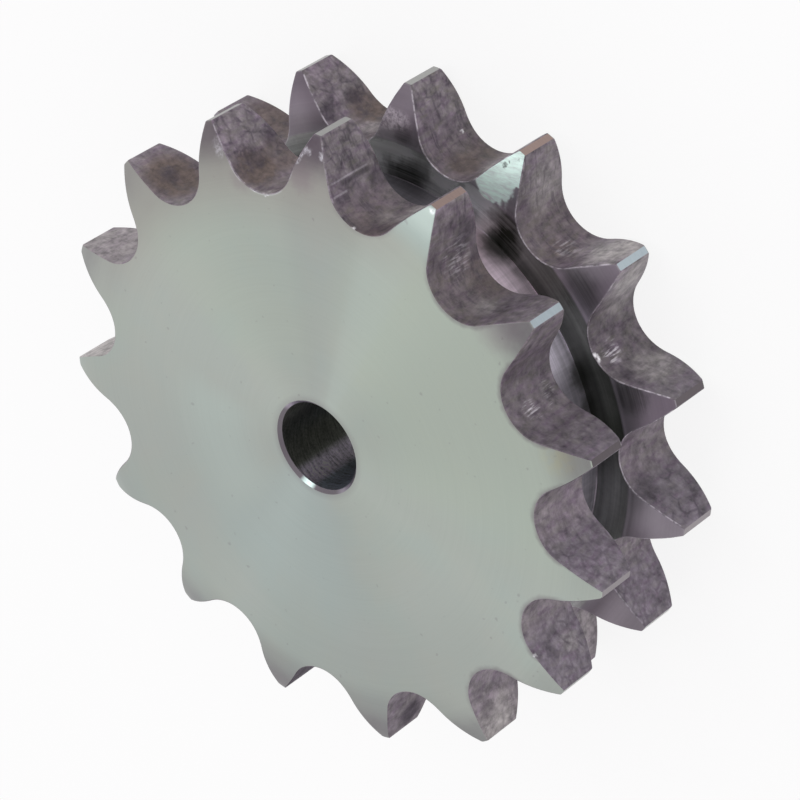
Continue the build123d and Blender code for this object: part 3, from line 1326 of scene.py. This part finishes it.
@dataclass
class Studio:
    """The bench, the light and the camera."""

    rest_level: float
    bench_gap: float = 0.02 * MM
    bench_size: float = 6.0
    bench_colour: Colour = colour(250, 250, 250)
    bench_glow: float = 0.85
    seen_by: tuple[str, ...] = ("Is Camera Ray", "Is Glossy Ray", "Is Transmission Ray")
    dim_colour: Colour = (0.42, 0.34, 0.42, 1.0)
    dim_parts: tuple[tuple[float, float, float, float, float], ...] = (
        (82.0, 44.0, 12.0, 24.0, 1.0),
        (235.0, 73.0, 18.0, 34.0, 1.0),
        (150.0, 4.0, 6.0, 34.0, 0.5),
    )
    lamps: tuple[tuple[float, float, float, float], ...] = (
        (55.0, 71.0, 9.0, 2.2),
        (16.0, 41.0, 6.0, 3.0),
    )
    lamp_distance: float = 1.6
    camera_place: Vector = field(default_factory=lambda: Vector((273.84, -279.38, 330.98)) * MM)
    camera_turns: tuple[float, float, float] = (44.555, 49.511, -123.401)
    lens: float = 157.07
    sensor: float = 36.0
    clip_start: float = 0.02

    def set_camera(self) -> None:
        """Puts the camera where the front face and the right-hand teeth show."""
        data = bpy.data.cameras.new("camera")
        data.lens = self.lens
        data.sensor_width = self.sensor
        data.clip_start = self.clip_start
        camera = linked("camera", data)
        camera.matrix_world = Matrix.Translation(self.camera_place)
        for angle, axis in zip(self.camera_turns, "ZXZ"):
            camera.matrix_world = camera.matrix_world @ Matrix.Rotation(radians(angle), 4, axis)
        bpy.context.scene.camera = camera

    def lay_bench(self) -> None:
        """Makes the pale bench top that the wheel lies on."""
        half = self.bench_size / 2
        mesh = bpy.data.meshes.new("bench")
        corners = [(-half, -half), (half, -half), (half, half), (-half, half)]
        level = self.rest_level - self.bench_gap
        mesh.from_pydata([(x, y, level) for x, y in corners], [], [(0, 1, 2, 3)])
        s = Surface("pale_bench", self.bench_colour)
        matt = s.first("ShaderNodeBsdfDiffuse", {"Color": s.shade})
        white = s.first("ShaderNodeEmission", {"Color": (1, 1, 1, 1), "Strength": 1.0})
        rays = s.add("ShaderNodeLightPath").outputs
        seen: Any = 0.0
        for name in self.seen_by:
            seen = Number(s, rays[name]) + seen
        lit = {0: seen.clamped() * self.bench_glow, 1: matt, 2: white}
        top = s.first("ShaderNodeMixShader", lit)
        # From underneath the bench is clear, so that the lower face of the wheel can be seen.
        under = s.add("ShaderNodeNewGeometry").outputs["Backfacing"]
        clear = s.first("ShaderNodeBsdfTransparent", {})
        shader = s.first("ShaderNodeMixShader", {0: under, 1: top, 2: clear})
        s.add("ShaderNodeOutputMaterial", {"Surface": shader})
        mesh.materials.append(s.material)
        linked("bench", mesh)

    @staticmethod
    def towards(azimuth: float, height: float) -> Vector:
        """The direction at an azimuth and a height above the horizon, both in degrees."""
        return polar(cos(radians(height)), radians(azimuth), sin(radians(height)))

    def light(self) -> None:
        """Lights the bench from all round, between the dim parts of the room, and adds the lamps."""
        world = bpy.data.worlds.new("studio")
        bpy.context.scene.world = world
        world.use_nodes = True
        n = Nodes(world.node_tree)
        way = n.add("ShaderNodeTexCoord").outputs["Generated"]
        shade: Any = (1.0, 1.0, 1.0, 1.0)
        for azimuth, height, core, edge, share in self.dim_parts:
            cosine = Number(n, n.vector_math("DOT_PRODUCT", way, self.towards(azimuth, height))[1])
            shade = n.mix(cosine.within(core, edge) * share, shade, self.dim_colour)
        back = n.first("ShaderNodeBackground", {"Color": shade, "Strength": 1.0})
        n.add("ShaderNodeOutputWorld", {"Surface": back})
        for number, (azimuth, height, spread, level) in enumerate(self.lamps):
            self.hang_lamp(f"lamp_{number}", self.towards(azimuth, height), spread, level)

    def hang_lamp(self, name: str, way: Vector, spread: float, level: float) -> None:
        """Hangs a round lamp that faces the wheel.

        Args:
            name: The lamp's name.
            way: The direction from the wheel.
            spread: Half the angle that it fills, in degrees.
            level: How bright it looks, where white is 1.
        """
        data = bpy.data.lights.new(name, "AREA")
        data.shape = "DISK"
        data.size = 2 * self.lamp_distance * tan(radians(spread))
        data.energy = level * pi * pi * (data.size / 2) ** 2
        lamp = linked(name, data)
        turn = way.to_track_quat("Z", "Y").to_matrix().to_4x4()
        lamp.matrix_world = Matrix.Translation(way * self.lamp_distance) @ turn


def main() -> None:
    """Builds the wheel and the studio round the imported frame."""
    logging.basicConfig(level=logging.INFO, format="%(name)s: %(message)s")
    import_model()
    lowest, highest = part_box("sprocket")
    wheel = Wheel(outer_face=highest.z)
    finishes = {
        Finish.FACE: FaceFinish(wheel.form).material(),
        Finish.FLANK: FlankFinish().material(),
        Finish.GROOVE: GrooveFinish().material(),
        Finish.LAND: LandFinish().material(),
        Finish.BORE: BoreFinish().material(),
    }
    piece = wheel.build(finishes)
    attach(piece, "root")
    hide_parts("sprocket")
    log.info("sprocket_wheel: %d faces", len(piece.data.polygons))
    studio = Studio(rest_level=lowest.z)
    studio.lay_bench()
    studio.light()
    studio.set_camera()
    bpy.context.scene.view_settings.view_transform = "Standard"


if __name__ == "__main__":
    main()
